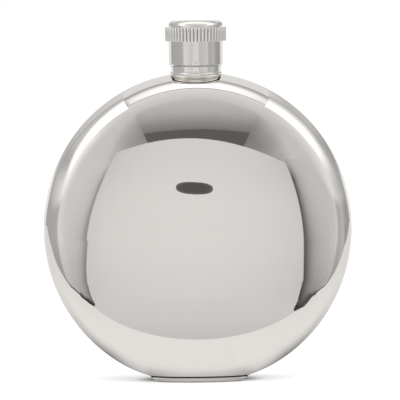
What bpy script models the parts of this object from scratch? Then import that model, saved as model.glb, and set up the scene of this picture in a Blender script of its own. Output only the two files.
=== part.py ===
"""Round hip flask: two drawn steel shells, a threaded neck, a foot plate and a screw cap.

Metres, +Z up. The front face looks along -Y. The origin is the centre of the foot's underside,
which is also the middle of the footprint. The neck and the cap share the Z axis.
"""

import math

import bmesh
import bpy

# Body: a thick disc that stands on its edge
BODY_DIAMETER = 0.1000
BAND_WIDTH = 0.0140
BAND_CROWN = 0.0008
SHOULDER_RADIUS = 0.0085
SHOULDER_SLOPE = math.radians(66.0)
DOME_RADIUS = 0.300
SHEET = 0.0007

# Foot plate under the cut-off bottom of the disc
FOOT_HEIGHT = 0.0015
FOOT_FLAT_DROP = 0.0026
FOOT_LIP = 0.0002
FOOT_EDGE_RADIUS = 0.0011

# Neck: a threaded spout inside a turned collar
NECK_BORE = 0.0059
NECK_WALL = 0.0008
NECK_RISE = 0.0144
NECK_DEPTH = 0.0030
THREAD_PITCH = 0.0024
THREAD_SHARE = 0.23
THREAD_CLEARANCE = 0.00015
THREAD_ABOVE_COLLAR = 0.0034
THREAD_BELOW_RIM = 0.0022
COLLAR_WALL = 0.0014
COLLAR_WAIST_DEPTH = 0.0007
COLLAR_RISE = 0.0028
COLLAR_BAND_HEIGHT = 0.0019
COLLAR_BEAD_HEIGHT = 0.0006
COLLAR_COVE_HEIGHT = 0.0012
COLLAR_GROOVE_DEPTH = 0.00025
COLLAR_GROOVE_HEIGHT = 0.0003

# Cap: a drawn cup with a ribbed grip ring, a threaded liner and a seal
SEAL_THICKNESS = 0.0010
LINER_SKIN = 0.0001
LINER_TOP = 0.00065
LINER_CORNER_RADIUS = 0.00105
LINER_RECESS = 0.0006
CAP_WALL = 0.00045
CAP_DISH_DEPTH = 0.00020
CAP_DISH_SHARE = 0.8
GRIP_WALL = 0.0005
GRIP_HEIGHT = 0.0045
GRIP_BELOW_TOP = 0.0023
RIB_COUNT = 52
RIB_DEPTH = 0.00035
RIB_FULLNESS = 0.5

# Space between pieces that touch
GAP = 0.0003

# How finely the round shapes are cut into facets
BODY_FACETS = 60
NECK_FACETS = 36
DOME_STEPS = 4
SHOULDER_STEPS = 6
BAND_STEPS = 2
EDGE_STEPS = 5
FOOT_STEPS = 8
FOOT_END_STEPS = 5
FOOT_EDGE_STEPS = 3
THREAD_FACETS = 24
THREAD_BEVEL_STEPS = 1
RIB_STEPS = 4
MERGE = 0.00001
WELD = 0.000001
SHARP_ANGLE = math.radians(35.0)

# Sizes that follow from the ones above
BODY_RADIUS = BODY_DIAMETER / 2.0
HALF_BAND = BAND_WIDTH / 2.0
CREASE_RADIUS = BODY_RADIUS - BAND_CROWN
CUT_HEIGHT = FOOT_HEIGHT + GAP
CENTRE_HEIGHT = CUT_HEIGHT + BODY_RADIUS - FOOT_FLAT_DROP
BODY_TOP = CENTRE_HEIGHT + BODY_RADIUS
NECK_RADIUS = NECK_BORE + NECK_WALL
NECK_RIM = BODY_TOP + NECK_RISE
COLLAR_INSIDE = NECK_RADIUS + GAP
COLLAR_RADIUS = COLLAR_INSIDE + COLLAR_WALL
COLLAR_TOP = BODY_TOP + COLLAR_RISE
THREAD_RADIUS = THREAD_PITCH * THREAD_SHARE
THREAD_START = COLLAR_TOP + THREAD_ABOVE_COLLAR
THREAD_TURNS = (NECK_RIM - THREAD_BELOW_RIM - THREAD_START) / THREAD_PITCH
SEAL_BOTTOM = NECK_RIM + GAP
SEAL_TOP = SEAL_BOTTOM + SEAL_THICKNESS
LINER_CEILING = SEAL_TOP + GAP
LINER_CROWN = LINER_CEILING + LINER_TOP
LINER_BORE = NECK_RADIUS + THREAD_RADIUS + THREAD_CLEARANCE
LINER_RADIUS = LINER_BORE + THREAD_RADIUS + LINER_SKIN
SEAL_RADIUS = LINER_BORE - GAP
CAP_BOTTOM = COLLAR_TOP + GAP
CAP_TOP = LINER_CROWN + GAP + CAP_WALL + CAP_DISH_DEPTH
CAP_RADIUS = LINER_RADIUS + GAP + CAP_WALL
CAP_EDGE_RADIUS = LINER_CORNER_RADIUS + GAP + CAP_WALL
GRIP_INSIDE = CAP_RADIUS + GAP
GRIP_BOTTOM = CAP_TOP - GRIP_BELOW_TOP - GRIP_HEIGHT

STEEL = (0.76, 0.74, 0.71)
LINER_PLASTIC = (0.82, 0.81, 0.78)
SEAL_RUBBER = (0.62, 0.61, 0.58)


def clear_scene():
    for obj in list(bpy.data.objects):
        bpy.data.objects.remove(obj, do_unlink=True)


def new_collection(name):
    collection = bpy.data.collections.new(name)
    bpy.context.scene.collection.children.link(collection)
    return collection


def material(name, colour, metallic, roughness):
    mat = bpy.data.materials.new(name)
    mat.use_nodes = True
    shader = mat.node_tree.nodes["Principled BSDF"]
    shader.inputs["Base Color"].default_value = (*colour, 1.0)
    shader.inputs["Metallic"].default_value = metallic
    shader.inputs["Roughness"].default_value = roughness
    return mat


def arc(centre, radius, start, end, steps):
    """Points of an arc in the profile plane, angles measured from the turning axis."""
    points = []
    for i in range(steps + 1):
        angle = start + (end - start) * i / steps
        points.append((centre[0] + radius * math.sin(angle), centre[1] + radius * math.cos(angle)))
    return points


def line_object(name, points, closed, collection):
    """A chain of edges in the XZ plane, for a modifier to turn."""
    bm = bmesh.new()
    verts = [bm.verts.new((radius, 0.0, height)) for radius, height in points]
    for first, second in zip(verts, verts[1:]):
        bm.edges.new((first, second))
    if closed:
        bm.edges.new((verts[-1], verts[0]))
    mesh = bpy.data.meshes.new(name)
    bm.to_mesh(mesh)
    bm.free()
    obj = bpy.data.objects.new(name, mesh)
    collection.objects.link(obj)
    return obj


def turned(name, points, facets, collection, closed=False):
    """A profile of (radius, height) points turned about the object's own Z axis."""
    obj = line_object(name, points, closed, collection)
    screw = obj.modifiers.new("turn", "SCREW")
    screw.axis = "Z"
    screw.steps = facets
    screw.render_steps = facets
    screw.use_merge_vertices = True
    screw.merge_threshold = MERGE
    screw.use_smooth_shade = True
    return obj


def thicken(obj, thickness):
    solid = obj.modifiers.new("sheet", "SOLIDIFY")
    solid.thickness = thickness
    solid.offset = -1.0
    solid.use_even_offset = True


def cut(obj, cutter):
    boolean = obj.modifiers.new("cut " + cutter.name, "BOOLEAN")
    boolean.operation = "DIFFERENCE"
    boolean.solver = "EXACT"
    boolean.object = cutter


def join(obj, other):
    boolean = obj.modifiers.new("join " + other.name, "BOOLEAN")
    boolean.operation = "UNION"
    boolean.solver = "EXACT"
    boolean.object = other


def hide(obj):
    obj.hide_render = True
    obj.display_type = "WIRE"


def to_mesh(obj, collection):
    """A mesh object in place of a curve, with its caps welded on."""
    graph = bpy.context.evaluated_depsgraph_get()
    mesh = bpy.data.meshes.new_from_object(obj.evaluated_get(graph))
    bm = bmesh.new()
    bm.from_mesh(mesh)
    bmesh.ops.remove_doubles(bm, verts=bm.verts, dist=WELD)
    bmesh.ops.recalc_face_normals(bm, faces=bm.faces)
    bm.to_mesh(mesh)
    bm.free()
    name = obj.name
    place = obj.matrix_world.copy()
    bpy.data.objects.remove(obj, do_unlink=True)
    result = bpy.data.objects.new(name, mesh)
    result.matrix_world = place
    collection.objects.link(result)
    return result


def plate(name, rings, thickness, collection):
    """A flat plate with the given outlines, from the height 0 up; inner outlines are holes."""
    curve = bpy.data.curves.new(name, "CURVE")
    curve.dimensions = "2D"
    curve.fill_mode = "BOTH"
    curve.extrude = thickness / 2.0
    for ring in rings:
        spline = curve.splines.new("POLY")
        spline.points.add(len(ring) - 1)
        for point, (x, y) in zip(spline.points, ring):
            point.co = (x, y, 0.0, 1.0)
        spline.use_cyclic_u = True
    obj = bpy.data.objects.new(name, curve)
    collection.objects.link(obj)
    obj = to_mesh(obj, collection)
    for vert in obj.data.vertices:
        vert.co.z += thickness / 2.0
    return obj


def helix_ridge(name, radius, start, collection):
    """A round thread ridge that winds up right-handed about the Z axis."""
    curve = bpy.data.curves.new(name, "CURVE")
    curve.dimensions = "3D"
    curve.bevel_depth = THREAD_RADIUS
    curve.bevel_resolution = THREAD_BEVEL_STEPS
    curve.use_fill_caps = True
    steps = math.ceil(THREAD_TURNS * THREAD_FACETS)
    spline = curve.splines.new("POLY")
    spline.points.add(steps)
    for i, point in enumerate(spline.points):
        turns = THREAD_TURNS * i / steps
        angle = 2.0 * math.pi * turns
        height = start + THREAD_PITCH * turns
        point.co = (radius * math.cos(angle), radius * math.sin(angle), height, 1.0)
    obj = bpy.data.objects.new(name, curve)
    collection.objects.link(obj)
    ridge = to_mesh(obj, collection)
    hide(ridge)
    return ridge


def shoulder_centre():
    """Centre of the rounded shoulder, as (radius, distance in front of the mid-plane)."""
    radius = CREASE_RADIUS - SHOULDER_RADIUS * math.sin(SHOULDER_SLOPE)
    forward = HALF_BAND - SHOULDER_RADIUS * math.cos(SHOULDER_SLOPE)
    return radius, forward


def dome_slope():
    """Slope where the shallow dome runs into the shoulder, the two being tangent."""
    return math.asin(shoulder_centre()[0] / (DOME_RADIUS - SHOULDER_RADIUS))


def face_profile(offset=0.0):
    """Half section of the body from the middle of one face out to the crease at the band."""
    centre = shoulder_centre()
    slope = dome_slope()
    dome_centre = (0.0, centre[1] - (DOME_RADIUS - SHOULDER_RADIUS) * math.cos(slope))
    dome = arc(dome_centre, DOME_RADIUS + offset, 0.0, slope, DOME_STEPS)
    shoulder = arc(centre, SHOULDER_RADIUS + offset, slope, SHOULDER_SLOPE, SHOULDER_STEPS)
    return dome + shoulder[1:]


def band_profile(inner, offset=0.0):
    """Section of the crowned side band, from the crease in to the given distance."""
    points = []
    for i in range(BAND_STEPS + 1):
        forward = HALF_BAND + (inner - HALF_BAND) * i / BAND_STEPS
        radius = BODY_RADIUS + offset - BAND_CROWN * (forward / HALF_BAND) ** 2
        points.append((radius, forward))
    return points


def half_depth_at(radius):
    """Distance from the mid-plane to the body's surface at a distance from its centre."""
    centre = shoulder_centre()
    slope = dome_slope()
    if radius >= CREASE_RADIUS:
        return HALF_BAND * math.sqrt((BODY_RADIUS - radius) / BAND_CROWN)
    if radius >= centre[0] + SHOULDER_RADIUS * math.sin(slope):
        return centre[1] + math.sqrt(SHOULDER_RADIUS ** 2 - (radius - centre[0]) ** 2)
    dome_centre = centre[1] - (DOME_RADIUS - SHOULDER_RADIUS) * math.cos(slope)
    return dome_centre + math.sqrt(DOME_RADIUS ** 2 - radius ** 2)


def body_shell(name, turn, cutters, collection):
    """One drawn half: a domed face, its rounded shoulder and half of the side band."""
    profile = face_profile() + band_profile(GAP / 2.0)[1:]
    shell = turned(name, profile, BODY_FACETS, collection)
    shell.location = (0.0, 0.0, CENTRE_HEIGHT)
    shell.rotation_euler = (turn, 0.0, 0.0)
    thicken(shell, SHEET)
    for cutter in cutters:
        cut(shell, cutter)
    return shell


def foot_cutter(collection):
    """A block that takes the round bottom off the two shells."""
    bpy.ops.mesh.primitive_cube_add(size=1.0)
    block = bpy.context.object
    block.name = "foot_cutter"
    block.scale = (2.0 * BODY_RADIUS, 2.0 * BODY_RADIUS, BODY_RADIUS)
    block.location = (0.0, 0.0, CUT_HEIGHT - BODY_RADIUS / 2.0)
    bpy.ops.object.transform_apply(location=False, rotation=False, scale=True)
    return into(block, collection)


def neck_cutter(collection):
    """A cylinder that opens the two shells for the spout."""
    bpy.ops.mesh.primitive_cylinder_add(vertices=NECK_FACETS, radius=COLLAR_INSIDE, depth=BODY_RADIUS)
    cylinder = bpy.context.object
    cylinder.name = "neck_cutter"
    cylinder.location = (0.0, 0.0, BODY_TOP)
    return into(cylinder, collection)


def body_envelope(collection):
    """The whole round body, a gap larger all round, to shape the foot of the collar."""
    half = face_profile(GAP) + band_profile(0.0, GAP)
    mirrored = [(radius, -forward) for radius, forward in reversed(half[:-1])]
    envelope = turned("body_envelope", half + mirrored, BODY_FACETS, collection)
    envelope.location = (0.0, 0.0, CENTRE_HEIGHT)
    envelope.rotation_euler = (math.radians(90.0), 0.0, 0.0)
    hide(envelope)
    return envelope


def into(obj, collection):
    """Moves a new cutter to its collection and marks it as a cutter."""
    for old in list(obj.users_collection):
        old.objects.unlink(obj)
    collection.objects.link(obj)
    hide(obj)
    return obj


def foot_outline():
    """Outline of the foot: the body's own section at the cut, a small lip larger all round."""
    drop = CENTRE_HEIGHT - CUT_HEIGHT
    corner = math.sqrt(CREASE_RADIUS ** 2 - drop ** 2)
    quarter = []
    for i in range(FOOT_STEPS + 1):
        x = corner * math.sin(math.pi / 2.0 * i / FOOT_STEPS)
        quarter.append((x, half_depth_at(math.hypot(x, drop))))
    for i in range(1, FOOT_END_STEPS + 1):
        forward = HALF_BAND * (1.0 - i / FOOT_END_STEPS)
        radius = BODY_RADIUS - BAND_CROWN * (forward / HALF_BAND) ** 2
        quarter.append((math.sqrt(radius ** 2 - drop ** 2), forward))
    wider = 1.0 + FOOT_LIP / quarter[-1][0]
    deeper = 1.0 + FOOT_LIP / quarter[0][1]
    quarter = [(x * wider, y * deeper) for x, y in quarter]
    upper = [(-x, y) for x, y in reversed(quarter[1:])] + quarter
    lower = [(x, -y) for x, y in reversed(upper[1:-1])]
    return upper + lower


def foot_plate(collection):
    """Pressed plate that closes the bottom, with its lower edge rounded."""
    foot = plate("foot_plate", [foot_outline()], FOOT_HEIGHT, collection)
    bm = bmesh.new()
    bm.from_mesh(foot.data)
    underside = [face for face in bm.faces if max(vert.co.z for vert in face.verts) < WELD]
    inner = {edge for face in underside for edge in face.edges}
    rim = [edge for edge in inner if not all(face in underside for face in edge.link_faces)]
    bmesh.ops.bevel(bm, geom=rim, offset=FOOT_EDGE_RADIUS, segments=FOOT_EDGE_STEPS, profile=0.5,
                    affect="EDGES", clamp_overlap=True)
    bm.to_mesh(foot.data)
    bm.free()
    return foot


def neck_spout(collection, cutters):
    """Drinking spout: a steel tube with a rolled thread on the outside."""
    bottom = BODY_TOP - NECK_DEPTH
    ring = [(NECK_RADIUS, NECK_RIM), (NECK_RADIUS, bottom), (NECK_BORE, bottom), (NECK_BORE, NECK_RIM)]
    spout = turned("neck_spout", ring, NECK_FACETS, collection, closed=True)
    ridge = helix_ridge("spout_ridge", NECK_RADIUS, THREAD_START, cutters)
    join(spout, ridge)
    return spout


def neck_collar(collection, envelope):
    """Turned ring round the spout, saddle-shaped below where it sits on the body."""
    band_bottom = COLLAR_TOP - COLLAR_BAND_HEIGHT
    bead_top = band_bottom - COLLAR_GROOVE_HEIGHT
    bead_bottom = bead_top - COLLAR_BEAD_HEIGHT
    groove = COLLAR_RADIUS - COLLAR_GROOVE_DEPTH
    waist = COLLAR_RADIUS - COLLAR_WAIST_DEPTH
    bottom = BODY_TOP - COLLAR_RADIUS
    profile = [
        (COLLAR_RADIUS, COLLAR_TOP),
        (COLLAR_RADIUS, band_bottom),
        (groove, band_bottom - COLLAR_GROOVE_HEIGHT / 2.0),
        (COLLAR_RADIUS, bead_top),
        (COLLAR_RADIUS, bead_bottom),
        (groove, bead_bottom - COLLAR_GROOVE_DEPTH),
        (waist, bead_bottom - COLLAR_COVE_HEIGHT),
        (waist, bottom),
        (COLLAR_INSIDE, bottom),
        (COLLAR_INSIDE, COLLAR_TOP),
    ]
    collar = turned("neck_collar", profile, NECK_FACETS, collection, closed=True)
    cut(collar, envelope)
    return collar


def cap_shell(collection):
    """Drawn cup with a rounded rim and a slightly dished top."""
    flat = CAP_RADIUS - CAP_EDGE_RADIUS
    edge = arc((flat, CAP_TOP - CAP_EDGE_RADIUS), CAP_EDGE_RADIUS, 0.0, math.pi / 2.0, EDGE_STEPS)
    dish = CAP_TOP - CAP_DISH_DEPTH
    profile = [(0.0, dish), (flat * CAP_DISH_SHARE, dish)]
    profile += edge + [(CAP_RADIUS, CAP_BOTTOM)]
    shell = turned("cap_shell", profile, NECK_FACETS, collection)
    thicken(shell, CAP_WALL)
    return shell


def rib_outline():
    """Outline of the grip ring: rounded ribs with sharp valleys between them."""
    points = []
    valley = GRIP_INSIDE + GRIP_WALL
    for i in range(RIB_COUNT * RIB_STEPS):
        share = (i % RIB_STEPS) / RIB_STEPS
        radius = valley + RIB_DEPTH * math.sin(math.pi * share) ** RIB_FULLNESS
        angle = 2.0 * math.pi * i / (RIB_COUNT * RIB_STEPS)
        points.append((radius * math.cos(angle), radius * math.sin(angle)))
    return points


def cap_grip_ring(collection):
    """Straight-ribbed ring pressed round the cap below its top."""
    hole = arc((0.0, 0.0), GRIP_INSIDE, 0.0, 2.0 * math.pi, NECK_FACETS)[:-1]
    ring = plate("cap_grip_ring", [rib_outline(), hole], GRIP_HEIGHT, collection)
    ring.location = (0.0, 0.0, GRIP_BOTTOM)
    return ring


def cap_thread_liner(collection, cutters):
    """Moulded cup inside the cap that carries the inner thread."""
    bottom = CAP_BOTTOM + LINER_RECESS
    corner = (LINER_RADIUS - LINER_CORNER_RADIUS, LINER_CROWN - LINER_CORNER_RADIUS)
    profile = [(0.0, LINER_CROWN)]
    profile += arc(corner, LINER_CORNER_RADIUS, 0.0, math.pi / 2.0, EDGE_STEPS)
    profile += [
        (LINER_RADIUS, bottom),
        (LINER_BORE, bottom),
        (LINER_BORE, LINER_CEILING),
        (0.0, LINER_CEILING),
    ]
    liner = turned("cap_thread_liner", profile, NECK_FACETS, collection)
    ridge = helix_ridge("liner_ridge", LINER_BORE, THREAD_START - THREAD_PITCH / 2.0, cutters)
    join(liner, ridge)
    return liner


def cap_seal(collection):
    """Flat disc that closes on the rim of the spout."""
    profile = [(0.0, SEAL_TOP), (SEAL_RADIUS, SEAL_TOP), (SEAL_RADIUS, SEAL_BOTTOM), (0.0, SEAL_BOTTOM)]
    return turned("cap_seal", profile, NECK_FACETS, collection)


def finish(obj, mat, parent):
    obj.data.materials.append(mat)
    obj.data.shade_smooth()
    obj.data.set_sharp_from_angle(angle=SHARP_ANGLE)
    if parent:
        obj.parent = parent


def main():
    clear_scene()
    parts = new_collection("round_hip_flask")
    cutters = new_collection("cutters")

    foot_cut = foot_cutter(cutters)
    neck_cut = neck_cutter(cutters)
    envelope = body_envelope(cutters)

    fixed = [
        (body_shell("front_shell", math.radians(90.0), (foot_cut, neck_cut), parts), STEEL, 1.0, 0.05),
        (body_shell("back_shell", math.radians(-90.0), (foot_cut, neck_cut), parts), STEEL, 1.0, 0.05),
        (foot_plate(parts), STEEL, 1.0, 0.08),
        (neck_spout(parts, cutters), STEEL, 1.0, 0.12),
        (neck_collar(parts, envelope), STEEL, 1.0, 0.07),
    ]
    moving = [
        (cap_shell(parts), STEEL, 1.0, 0.06),
        (cap_grip_ring(parts), STEEL, 1.0, 0.12),
        (cap_thread_liner(parts, cutters), LINER_PLASTIC, 0.0, 0.45),
        (cap_seal(parts), SEAL_RUBBER, 0.0, 0.60),
    ]
    cap_axis = bpy.data.objects.new("cap_axis", None)
    parts.objects.link(cap_axis)
    for obj, colour, metallic, roughness in fixed:
        finish(obj, material(obj.name, colour, metallic, roughness), None)
    for obj, colour, metallic, roughness in moving:
        finish(obj, material(obj.name, colour, metallic, roughness), cap_axis)


main()
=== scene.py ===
"""Round hip flask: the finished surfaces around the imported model, laid out as a Blender add-on.

Every new piece is a surface that numpy works out on a grid. Metres, +Z up, the front face along -Y.
"""

import math

import bmesh
import bpy
import numpy as np
from mathutils import Matrix, Vector


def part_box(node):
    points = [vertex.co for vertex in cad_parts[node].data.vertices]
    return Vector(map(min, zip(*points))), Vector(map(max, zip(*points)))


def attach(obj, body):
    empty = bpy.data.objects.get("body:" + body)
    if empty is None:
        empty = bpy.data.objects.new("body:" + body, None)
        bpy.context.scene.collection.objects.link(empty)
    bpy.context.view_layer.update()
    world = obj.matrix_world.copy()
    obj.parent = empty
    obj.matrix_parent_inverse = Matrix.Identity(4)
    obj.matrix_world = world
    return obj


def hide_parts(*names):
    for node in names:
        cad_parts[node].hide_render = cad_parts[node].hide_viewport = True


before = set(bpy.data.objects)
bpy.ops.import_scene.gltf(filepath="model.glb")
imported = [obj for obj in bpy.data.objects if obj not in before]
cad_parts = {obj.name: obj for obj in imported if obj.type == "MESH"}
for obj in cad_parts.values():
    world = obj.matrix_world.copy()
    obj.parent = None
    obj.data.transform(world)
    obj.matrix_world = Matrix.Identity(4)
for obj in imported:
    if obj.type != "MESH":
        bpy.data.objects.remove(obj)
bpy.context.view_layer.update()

bl_info = {
    "name": "Round Hip Flask",
    "version": (1, 0, 0),
    "blender": (4, 5, 0),
    "location": "3D View > Sidebar > Flask",
    "description": "Builds a polished round hip flask with a screw cap and its studio",
    "category": "Add Mesh",
}

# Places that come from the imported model
SHELL_LOW, SHELL_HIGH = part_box("front_shell")
COLLAR_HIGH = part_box("neck_collar")[1]
SPOUT_LOW, SPOUT_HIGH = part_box("neck_spout")
CAP_LOW, CAP_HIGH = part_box("cap_shell")
RING_LOW, RING_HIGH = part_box("cap_grip_ring")
LINER_LOW, LINER_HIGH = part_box("cap_thread_liner")
SEAL_LOW, SEAL_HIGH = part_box("cap_seal")
BODY_RADIUS = SHELL_HIGH.x

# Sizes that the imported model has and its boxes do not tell
FLAT_DROP = 0.0026              # the circle's lowest point below the shells' cut
COLLAR_WALL = 0.0014
THREAD_CREST = 0.00055          # the thread's crest over the spout's wall
THREAD_ABOVE_COLLAR = 0.0034
CENTRE_HEIGHT = SHELL_LOW.z + BODY_RADIUS - FLAT_DROP

# Mesh
TURN = 2.0 * math.pi
WELD = 1e-7                     # points closer than this are one
SHARP_ANGLE = math.radians(32.0)
ROUND_COLUMNS = 192
THREAD_ROWS = 120
SEAT = 0.00005                  # how far the collar sinks into the body that it stands on

# Studio: places in metres, greys as the picture shows them
STEEL_TONE = 0.776              # how much of a card's grey the steel gives back
WALL_Y = -0.450                 # the pale sheet in front of the flask
CURTAIN_HEIGHT = 0.112
CEILING_HEIGHT = CENTRE_HEIGHT + 0.135
PANEL_HALF = 0.080              # half width of the panel overhead at its near end
TENT_RADIUS = 1.25
STRIP_NEAR = 0.0515             # the pale strip's rounded near end, in front of the flask
STRIP_FAR = 0.45
AMBIENT = 0.72                  # the white world's strength for diffuse light

# Picture: side and place of the body's centre in pixels, sensor in millimetres
PICTURE = 400.0
SENSOR = 36.0
BODY_PIXEL = (197.75, 228.4)


def length(name, default, description, **more):
    """A size in metres that a user can change."""
    return bpy.props.FloatProperty(
        name=name, description=description, default=default, unit="LENGTH", precision=5, **more
    )


def share(name, default, description, **more):
    """A number without a unit that a user can change."""
    return bpy.props.FloatProperty(name=name, description=description, default=default, precision=3, **more)


def angle(name, default, description):
    """An angle, given in degrees, that a user can change."""
    return bpy.props.FloatProperty(
        name=name, description=description, default=math.radians(default), subtype="ANGLE"
    )


def colour(name, default, description):
    """A linear colour that a user can change."""
    return bpy.props.FloatVectorProperty(
        name=name, description=description, default=default, size=3, subtype="COLOR", min=0.0, max=1.0
    )


class FlaskBodySettings(bpy.types.PropertyGroup):
    """Sizes of the two drawn shells and the foot."""

    band_width: length("Band width", 0.0140, "Width of the side band from crease to crease")
    band_crown: length("Band crown", 0.0008, "Rise of the band's middle over its creases")
    shoulder_radius: length("Shoulder radius", 0.0085, "Radius of the rounded shoulder")
    shoulder_slope: angle("Shoulder slope", 66.0, "Slope at which the shoulder meets the crease")
    dome_radius: length("Dome radius", 0.300, "Radius of the shallow domed face")
    sheet: length("Sheet", 0.0007, "Thickness of the drawn steel")
    crease_round: length("Crease rounding", 0.00018, "How far the crease is softened to each side")
    face_drop: length("Face drop", 0.0006, "How far the faces' circle sits below the band's circle")
    tallness: share("Tallness", 1.003, "Height of the lower half over its width")
    top_tallness: share("Top tallness", 1.016, "Height of the upper half's band over its width")
    face_tallness: share("Face tallness", 1.006, "Height of the upper half's faces over their width")
    foot_flatness: share("Foot flatness", 0.0065, "How far the circle is flattened at the foot")
    foot_lift: length("Cut lift", 0.0003, "Height of the shells' cut over the foot's gap")
    foot_taper: share("Foot taper", 0.80, "Size of the foot's underside over its top", min=0.5, max=1.0)
    foot_edge: length("Foot edge", 0.0004, "Radius of the foot's lower edge")


class FlaskNeckSettings(bpy.types.PropertyGroup):
    """Sizes of the spout and the collar."""

    wall: length("Spout wall", 0.0008, "Wall of the spout")
    thread_pitch: length("Thread pitch", 0.0024, "Rise of the thread in one turn")
    thread_depth: length("Thread depth", 0.00055, "Height of the thread's ridge")
    thread_turns: share("Thread turns", 2.5, "Turns of the thread")
    waist: length("Collar waist", 0.0009, "How far the collar's waist is drawn in")
    saddle_depth: length("Saddle depth", 0.0068, "Half depth of the collar's foot on the body's band")
    bead: length("Bead", 0.0008, "Height of the bead under the collar's band")
    band: length("Collar band", 0.0019, "Height of the collar's plain band")


class FlaskCapSettings(bpy.types.PropertyGroup):
    """Sizes of the cap, its grip ring, the liner and the seal."""

    wall: length("Cap wall", 0.00045, "Wall of the drawn cap")
    edge_radius: length("Cap edge", 0.0018, "Radius of the cap's top edge")
    dome: length("Cap dome", 0.00015, "Rise of the cap's slightly domed top")
    ribs: bpy.props.IntProperty(name="Ribs", description="Ribs round the grip ring", default=52, min=8)
    rib_depth: length("Rib depth", 0.00042, "Depth of the valleys between the ribs")
    liner_wall: length("Liner wall", 0.00065, "Wall of the plastic liner")


class FlaskFinishSettings(bpy.types.PropertyGroup):
    """Colours of the finishes."""

    steel: colour("Steel", (0.800, 0.776, 0.744), "Colour of the polished steel")
    # The collar and the ring get lighter copies of the steel's colour, which paint them brighter than the
    # body.
    collar: colour("Collar steel", (0.85, 0.83, 0.80), "Colour of the polished collar")
    ring: colour("Ring steel", (0.90, 0.88, 0.85), "Colour of the bright grip ring")
    turned: colour("Turned steel", (0.70, 0.68, 0.65), "Colour of the plain spout")
    plastic: colour("Liner plastic", (0.78, 0.77, 0.73), "Colour of the cap's liner")
    rubber: colour("Seal rubber", (0.52, 0.51, 0.48), "Colour of the seal")


class FlaskStudioSettings(bpy.types.PropertyGroup):
    """Camera of the studio: its elevation and distance, the picture's scale and its lean."""

    camera_elevation: angle("Camera elevation", 5.0, "Angle of the camera above the body's centre")
    camera_distance: length("Camera distance", 1.1, "Distance from the camera to the body's centre")
    scale: share("Picture scale", 3083.0, "Pixels of the picture for each metre at the body's centre")
    lean: angle("Lean", 0.65, "How far the picture leans to the left")


def smooth(value, low, high):
    """0 below low, 1 above high and a smooth rise between."""
    t = np.clip((value - low) / (high - low), 0.0, 1.0)
    return t * t * (3.0 - 2.0 * t)


def blend(first, second, share_of_second):
    """Two greys mixed by a share."""
    return first + (second - first) * share_of_second


def window(value, low, full, fall, end):
    """0 below low, 1 from full to fall and 0 again beyond end."""
    return smooth(value, low, full) * (1.0 - smooth(value, fall, end))


def degrees(a, b):
    """The angle whose tangent is a over b, in degrees."""
    return np.degrees(np.arctan2(a, b))


def unit_grid(rows, columns):
    """Two parameters from 0 to 1 on a grid: the first along its columns, the second along its rows."""
    return np.meshgrid(np.linspace(0.0, 1.0, columns), np.linspace(0.0, 1.0, rows))


def spread(*parts):
    """Points from their coordinates, each an array or one number for all."""
    return np.stack(np.broadcast_arrays(*parts), axis=-1)


def grid_quads(rows, columns, closed):
    """Quads between neighbouring rows and columns; a closed grid joins its last column to its first."""
    here = np.arange(columns if closed else columns - 1)
    ahead = (here + 1) % columns
    row = np.arange(rows - 1)[:, None] * columns
    return spread(row + here, row + ahead, row + columns + ahead, row + columns + here).reshape(-1, 4)


def grid_mesh(name, grid, closed, flip=False):
    """A mesh from a grid of points."""
    quads = grid_quads(*grid.shape[:2], closed)
    if flip:
        quads = quads[:, ::-1]
    mesh = bpy.data.meshes.new(name)
    mesh.from_pydata(grid.reshape(-1, 3).tolist(), [], quads.tolist())
    return mesh


def store(mesh, name, values):
    """Keeps one number for each point of a mesh under a name."""
    mesh.attributes.new(name, "FLOAT", "POINT").data.foreach_set("value", values.astype(np.float32).ravel())


def new_object(name, data):
    """An object in the scene for a mesh, a lamp or a camera."""
    thing = bpy.data.objects.new(name, data)
    bpy.context.scene.collection.objects.link(thing)
    return thing


def mesh_piece(name, grid, flip=False, painted_shade=None):
    """A smooth piece from a grid of points closed round; rows that meet in one point close its ends.

    The last argument gives how deep in a seam or valley each place lies, from 0 to 1; the finish darkens
    there with painted shade.
    """
    mesh = grid_mesh(name, grid, True, flip)
    bm = bmesh.new()
    bm.from_mesh(mesh)
    bmesh.ops.remove_doubles(bm, verts=bm.verts, dist=WELD)
    bmesh.ops.dissolve_degenerate(bm, edges=bm.edges, dist=WELD)
    bm.to_mesh(mesh)
    bm.free()
    mesh.shade_smooth()
    mesh.set_sharp_from_angle(angle=SHARP_ANGLE)
    if painted_shade:
        place = np.empty(len(mesh.vertices) * 3, np.float32)
        mesh.vertices.foreach_get("co", place)
        store(mesh, "painted_shade", np.clip(painted_shade(*place.reshape(-1, 3).T), 0.0, 1.0))
    return new_object(name, mesh)


def softened(corners, radius, steps=5):
    """A profile with rounded corners: each becomes a parabola between two points a radius away."""
    corners = np.array(corners, float)
    middle = corners[1:-1]
    radii = np.broadcast_to(np.asarray(radius, float), (len(middle),))[:, None]

    def beside(neighbour):
        """The point a radius away from each corner, or less where its side is short."""
        way = neighbour - middle
        size = np.linalg.norm(way, axis=1, keepdims=True)
        return middle + way / size * np.minimum(radii, 0.45 * size)

    start = beside(corners[:-2])[:, None]
    end = beside(corners[2:])[:, None]
    t = np.linspace(0.0, 1.0, steps)[None, :, None]
    curve = (1 - t) ** 2 * start + 2 * t * (1 - t) * middle[:, None] + t ** 2 * end
    return np.concatenate([corners[:1], curve.reshape(-1, 2), corners[-1:]])


def round_angles(columns):
    """Angles spaced evenly round a whole turn."""
    return np.arange(columns) * TURN / columns


def carried_round(radius, height, angle):
    """Places round the Z axis: x = r sin a, y = -r cos a, z = height."""
    return spread(radius * np.sin(angle), -radius * np.cos(angle), height)


def turned(profile, columns=ROUND_COLUMNS):
    """A profile of (radius, height) carried round the Z axis."""
    profile = np.asarray(profile)
    return carried_round(profile[:, 0, None], profile[:, 1, None], round_angles(columns))


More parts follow.
